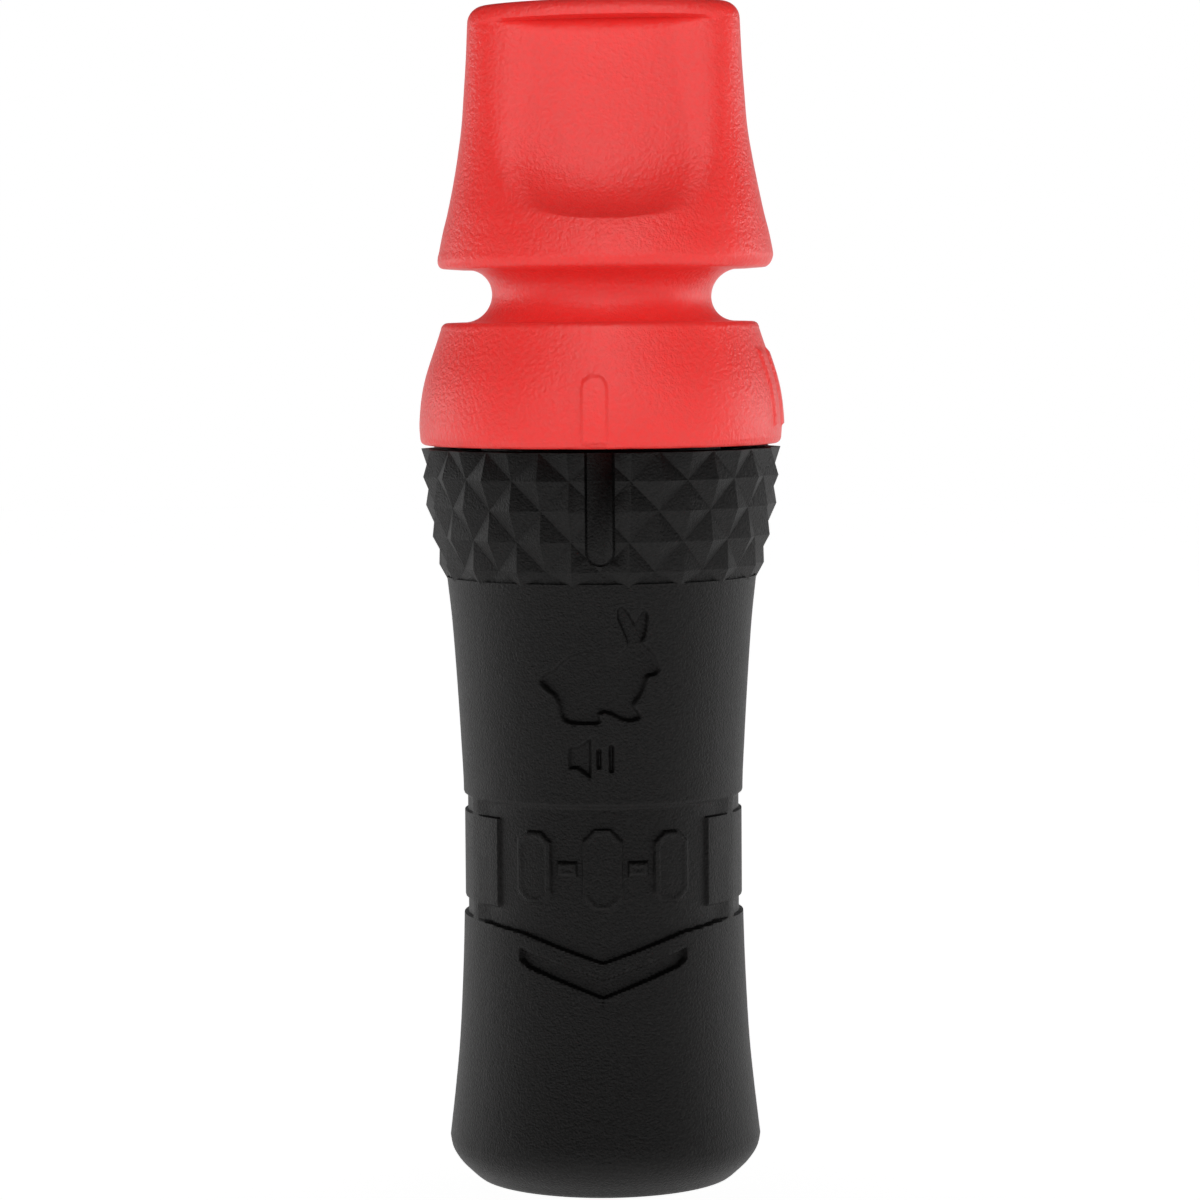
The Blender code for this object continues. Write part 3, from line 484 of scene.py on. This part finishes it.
def makeMouthpiece():
    look = mouth
    rows, outside = mouthRows()
    angles = front + np.radians(spread([(-7, 7, 0.35), (7, 60, 1.2), (60, 120, 0.6), (120, 173, 1.2),
                                        (173, 187, 0.5), (187, 353, 1.2)]))
    c, s = np.cos(angles), np.sin(angles)
    height, wide, deep, square = (rows[:, k:k + 1] for k in range(4))
    reach = (np.abs(c / wide) ** square + np.abs(s / deep) ** square) ** (-1 / square)
    x, y = reach * c, reach * s
    z = height * np.ones_like(x)
    out = (np.arange(len(rows)) < outside)[:, None]
    push = np.where(out, mouthRelief(x, y, z, angles), 0.0)
    x, y = x + push * c, y + push * s
    # the scoop cuts the bill back where its floor is nearer to the middle, with a softened edge
    start, bend = look["lipRound"]
    floor = smoothCurve(look["scoop"], z[:, 0])[:, :1] - bend * np.maximum(0.0, z - start) ** 2
    floor = floor + smoothCurve(look["scoopCurve"], z[:, 0])[:, :1] * x ** 2
    depth = np.abs(y)
    edge = look["scoopEdge"] + look["scoopSide"] * fade(np.abs(x), *look["scoopEdgeHalf"])
    overlap = np.clip(0.5 + 0.5 * (depth - floor) / edge, 0.0, 1.0)
    cut = depth + (floor - depth) * overlap - edge * overlap * (1 - overlap)
    y = np.where(out & (z > look["scoop"][0][0]), np.sign(y) * np.minimum(cut, depth), y)
    # the arch's highest point stays at the top of the lip
    along = x / look["archHalf"]
    peak = look["archTilt"] ** 2 / (4 * look["arch"])
    drop = look["arch"] * along ** 2 - look["archTilt"] * along + peak
    z = z - drop * fade(z, look["archFrom"], lipTop)
    x = x + smoothCurve(look["lean"], z[:, 0])[:, :1] * (z > look["lean"][0][0])
    points = np.stack([x, y, z], axis=-1).reshape(-1, 3)
    return addPiece("mouthpiece_shell", points, ringFaces(*x.shape, True), "mouthpiece",
                    ["mouthpiece"], 50.0)


makeBarrel()
print("barrel made")
makeGrip()
print("grip band made")
makeMouthpiece()
print("mouthpiece made")


# materials
def newMaterial(name):
    made = bpy.data.materials.new(name)
    made.use_nodes = True
    tree = made.node_tree
    shader = tree.nodes["Principled BSDF"]
    spot = tree.nodes.new("ShaderNodeTexCoord").outputs["Object"]
    return made, tree, shader, spot


def noise(tree, spot, scale, detail=2.0, rough=0.5):
    node = tree.nodes.new("ShaderNodeTexNoise")
    node.inputs["Scale"].default_value = scale
    node.inputs["Detail"].default_value = detail
    node.inputs["Roughness"].default_value = rough
    tree.links.new(spot, node.inputs["Vector"])
    return node.outputs["Fac"]


def ranged(tree, value, low, high, start=0.0, end=1.0):
    node = tree.nodes.new("ShaderNodeMapRange")
    node.inputs["From Min"].default_value = start
    node.inputs["From Max"].default_value = end
    node.inputs["To Min"].default_value = low
    node.inputs["To Max"].default_value = high
    tree.links.new(value, node.inputs["Value"])
    return node.outputs["Result"]


def blendColours(tree, share, first, second):
    node = tree.nodes.new("ShaderNodeMix")
    node.data_type = "RGBA"
    node.inputs["A"].default_value = (*first, 1.0)
    node.inputs["B"].default_value = (*second, 1.0)
    tree.links.new(share, node.inputs["Factor"])
    return node.outputs["Result"]


def bumped(tree, shader, heights):
    # chain of bumps: (height, distance in millimetres)
    normal = None
    for height, distance in heights:
        node = tree.nodes.new("ShaderNodeBump")
        node.inputs["Distance"].default_value = distance * mm
        node.inputs["Strength"].default_value = 1.0
        tree.links.new(height, node.inputs["Height"])
        if normal:
            tree.links.new(normal, node.inputs["Normal"])
        normal = node.outputs["Normal"]
    tree.links.new(normal, shader.inputs["Normal"])


# how the noises are stretched, and the glow's reach by colour
grainLook = {"speckleShare": 0.7, "speckleRange": (0.38, 0.62), "glossRange": (0.3, 0.7),
             "glowRadius": (1.0, 0.25, 0.2)}


def grainedMaterial(name, look):
    # speckled colour, fine grain, slow unevenness, and gloss that follows the grain
    made, tree, shader, spot = newMaterial(name)
    drift = noise(tree, spot, look["driftScale"], 3.0)
    grain = noise(tree, spot, look["grainScale"], 2.0, 0.6)
    speckle = noise(tree, spot, look["grainScale"] * grainLook["speckleShare"], 3.0, 0.6)
    share = ranged(tree, speckle, 0.0, 1.0, *grainLook["speckleRange"])
    colour = blendColours(tree, share, look["colour"], look["second"])
    rough = ranged(tree, grain, look["roughLow"], look["roughHigh"], *grainLook["glossRange"])
    tree.links.new(colour, shader.inputs["Base Color"])
    tree.links.new(rough, shader.inputs["Roughness"])
    shader.inputs["Specular IOR Level"].default_value = look["specular"]
    shader.inputs["Metallic"].default_value = look.get("metal", 0.0)
    if look.get("glow"):
        shader.inputs["Subsurface Weight"].default_value = look["glow"]
        shader.inputs["Subsurface Radius"].default_value = grainLook["glowRadius"]
        shader.inputs["Subsurface Scale"].default_value = look["glowDepth"] * mm
    bumped(tree, shader, [(grain, look["grainDepth"]), (drift, look["driftDepth"])])
    return made


# noise scales are per metre, depths in millimetres
finishes = {
    "red_plastic": {"colour": (0.91, 0.034, 0.030), "second": (0.86, 0.044, 0.038), "driftScale": 70.0,
                    "grainScale": 2300.0, "roughLow": 0.34, "roughHigh": 0.44, "specular": 0.5,
                    "grainDepth": 0.13, "driftDepth": 0.05, "glow": 0.2, "glowDepth": 1.2},
    "black_plastic": {"colour": (0.0062, 0.0057, 0.0055), "second": (0.0128, 0.012, 0.0116), "driftScale": 90.0,
                      "grainScale": 4200.0, "roughLow": 0.42, "roughHigh": 0.54, "specular": 0.27,
                      "grainDepth": 0.12, "driftDepth": 0.04},
    "grey_plastic": {"colour": (0.045, 0.045, 0.05), "second": (0.055, 0.055, 0.06), "driftScale": 120.0,
                     "grainScale": 2200.0, "roughLow": 0.42, "roughHigh": 0.56, "specular": 0.4,
                     "grainDepth": 0.01, "driftDepth": 0.02},
    "board_plastic": {"colour": (0.04, 0.04, 0.045), "second": (0.03, 0.03, 0.033), "driftScale": 150.0,
                      "grainScale": 1800.0, "roughLow": 0.25, "roughHigh": 0.36, "specular": 0.5,
                      "grainDepth": 0.006, "driftDepth": 0.02},
    "ivory_plastic": {"colour": (0.72, 0.67, 0.56), "second": (0.66, 0.60, 0.48), "driftScale": 110.0,
                      "grainScale": 2400.0, "roughLow": 0.36, "roughHigh": 0.5, "specular": 0.45,
                      "grainDepth": 0.01, "driftDepth": 0.03, "glow": 0.15, "glowDepth": 1.0},
    "silicone": {"colour": (0.52, 0.15, 0.10), "second": (0.46, 0.12, 0.08), "driftScale": 160.0,
                 "grainScale": 2600.0, "roughLow": 0.55, "roughHigh": 0.7, "specular": 0.35,
                 "grainDepth": 0.008, "driftDepth": 0.02, "glow": 0.1, "glowDepth": 0.8},
    "o_ring_rubber": {"colour": (0.016, 0.016, 0.016), "second": (0.022, 0.021, 0.02), "driftScale": 200.0,
                      "grainScale": 3000.0, "roughLow": 0.5, "roughHigh": 0.7, "specular": 0.4,
                      "grainDepth": 0.006, "driftDepth": 0.01},
    "wedge_cork": {"colour": (0.42, 0.25, 0.13), "second": (0.24, 0.13, 0.06), "driftScale": 1300.0,
                   "grainScale": 3200.0, "roughLow": 0.8, "roughHigh": 0.95, "specular": 0.2,
                   "grainDepth": 0.05, "driftDepth": 0.05},
    "brass": {"colour": (0.78, 0.57, 0.25), "second": (0.68, 0.46, 0.18), "driftScale": 300.0,
              "grainScale": 3500.0, "roughLow": 0.22, "roughHigh": 0.4, "specular": 0.5, "metal": 1.0,
              "grainDepth": 0.004, "driftDepth": 0.004},
    "reed_metal": {"colour": (0.80, 0.62, 0.32), "second": (0.72, 0.53, 0.25), "driftScale": 260.0,
                   "grainScale": 3000.0, "roughLow": 0.18, "roughHigh": 0.32, "specular": 0.5, "metal": 1.0,
                   "grainDepth": 0.003, "driftDepth": 0.004},
    "steel": {"colour": (0.62, 0.63, 0.65), "second": (0.52, 0.53, 0.55), "driftScale": 320.0,
              "grainScale": 3600.0, "roughLow": 0.2, "roughHigh": 0.38, "specular": 0.5, "metal": 1.0,
              "grainDepth": 0.004, "driftDepth": 0.004},
}
slotOf = {row["node"]: row["material_slot"] for row in record["subparts"]}
materials = {name: grainedMaterial(name, look) for name, look in finishes.items()}


def dress(obj, slot):
    obj.data.materials.clear()
    obj.data.materials.append(materials[slot])


for node, obj in frame["nodes"].items():
    dress(obj, slotOf[node])
for name, slot in (("barrel_body", "black_plastic"), ("grip_band", "black_plastic"),
                   ("mouthpiece_shell", "red_plastic")):
    dress(bpy.data.objects[name], slot)
print("materials made")


# studio: pale glowing floor, white surround that is brightest behind and dim above
studio = {"floorSize": 3.0, "floorDrop": 0.0002, "floorColour": (0.9, 0.9, 0.9, 1.0), "floorRough": 0.9,
          # glow as the call sees it, and as the camera sees it
          "floorGlow": 0.75, "floorSeen": 0.95,
          # surround: its level in front and behind, and the share left above, each between two directions
          "frontLevel": 0.17, "backLevel": 0.9, "acrossRange": (-0.7, 0.7),
          "topLevel": 0.05, "upwardRange": (-0.05, 0.36), "backdrop": 1.0,
          "aim": (0.0, 0.0, 0.09),
          "lights": [
              {"name": "left", "place": (-0.7, 0.3, 0.04), "size": (0.4, 0.36), "power": 0.9},
              {"name": "right", "place": (0.7, 0.3, 0.04), "size": (0.4, 0.36), "power": 0.9},
          ],
          # the dark barrel is left out of these, so that its facets keep their contrast; soft ones make no shine
          "mouthpieceLights": [
              {"name": "fill", "place": (0.0, -1.1, 0.3), "size": (0.9, 0.7), "power": 0.9, "soft": True},
              {"name": "side_left", "place": (-0.8, -0.2, 0.2), "size": (0.5, 0.6), "power": 1.05, "soft": True},
              {"name": "side_right", "place": (0.8, -0.2, 0.2), "size": (0.5, 0.6), "power": 1.05, "soft": True},
              {"name": "upper_left", "place": (-0.5, -0.9, 0.42), "size": (0.12, 0.3), "power": 1.2},
              {"name": "upper_middle", "place": (0.12, -1.0, 0.5), "size": (0.1, 0.2), "power": 1.0},
              {"name": "upper_right", "place": (0.62, -0.85, 0.42), "size": (0.12, 0.3), "power": 1.0},
              {"name": "overhead", "place": (0.03, -0.62, 0.8), "size": (0.4, 0.6), "power": 2.3},
          ]}


def addFloor():
    half = studio["floorSize"] / 2
    mesh = bpy.data.meshes.new("floor")
    mesh.from_pydata([(-half, -half, 0.0), (half, -half, 0.0), (half, half, 0.0), (-half, half, 0.0)], [],
                     [(0, 1, 2, 3)])
    floor = bpy.data.objects.new("floor", mesh)
    floor.location.z = -studio["floorDrop"]
    made, tree, shader = newMaterial("floor_paper")[:3]
    shader.inputs["Base Color"].default_value = studio["floorColour"]
    shader.inputs["Roughness"].default_value = studio["floorRough"]
    shader.inputs["Emission Color"].default_value = (1.0, 1.0, 1.0, 1.0)
    seen = tree.nodes.new("ShaderNodeLightPath").outputs["Is Camera Ray"]
    glow = ranged(tree, seen, studio["floorGlow"], studio["floorSeen"])
    tree.links.new(glow, shader.inputs["Emission Strength"])
    mesh.materials.append(made)
    bpy.context.scene.collection.objects.link(floor)


def addLights():
    lit = bpy.data.collections.new("mouthpiece_only")
    lit.objects.link(bpy.data.objects["mouthpiece_shell"])
    for look in studio["lights"] + studio["mouthpieceLights"]:
        data = bpy.data.lights.new(look["name"], "AREA")
        data.shape = "RECTANGLE"
        data.size, data.size_y = look["size"]
        data.energy = look["power"]
        light = bpy.data.objects.new(look["name"], data)
        light.location = look["place"]
        away = Vector(studio["aim"]) - Vector(look["place"])
        light.rotation_euler = away.to_track_quat("-Z", "Y").to_euler()
        bpy.context.scene.collection.objects.link(light)
        if look in studio["mouthpieceLights"]:
            light.light_linking.receiver_collection = lit
        light.visible_glossy = not look.get("soft", False)


def addSurround():
    # white all round for the camera; for the call its level goes from front to back, and falls off upwards
    world = bpy.data.worlds.new("surround")
    world.use_nodes = True
    tree = world.node_tree
    spot = tree.nodes.new("ShaderNodeTexCoord").outputs["Generated"]
    split = tree.nodes.new("ShaderNodeSeparateXYZ")
    tree.links.new(spot, split.inputs["Vector"])
    across = ranged(tree, split.outputs["Y"], studio["frontLevel"], studio["backLevel"], *studio["acrossRange"])
    upward = ranged(tree, split.outputs["Z"], 1.0, studio["topLevel"], *studio["upwardRange"])
    level = tree.nodes.new("ShaderNodeMath")
    level.operation = "MULTIPLY"
    tree.links.new(across, level.inputs[0])
    tree.links.new(upward, level.inputs[1])
    tent = tree.nodes["Background"]
    tent.inputs["Color"].default_value = (1.0, 1.0, 1.0, 1.0)
    tree.links.new(level.outputs["Value"], tent.inputs["Strength"])
    backdrop = tree.nodes.new("ShaderNodeBackground")
    backdrop.inputs["Color"].default_value = (1.0, 1.0, 1.0, 1.0)
    backdrop.inputs["Strength"].default_value = studio["backdrop"]
    mix = tree.nodes.new("ShaderNodeMixShader")
    path = tree.nodes.new("ShaderNodeLightPath")
    tree.links.new(path.outputs["Is Camera Ray"], mix.inputs["Fac"])
    tree.links.new(tent.outputs["Background"], mix.inputs[1])
    tree.links.new(backdrop.outputs["Background"], mix.inputs[2])
    tree.links.new(mix.outputs["Shader"], tree.nodes["World Output"].inputs["Surface"])
    bpy.context.scene.world = world


addFloor()
addLights()
addSurround()
bpy.context.scene.view_settings.view_transform = "Standard"
print("studio made")
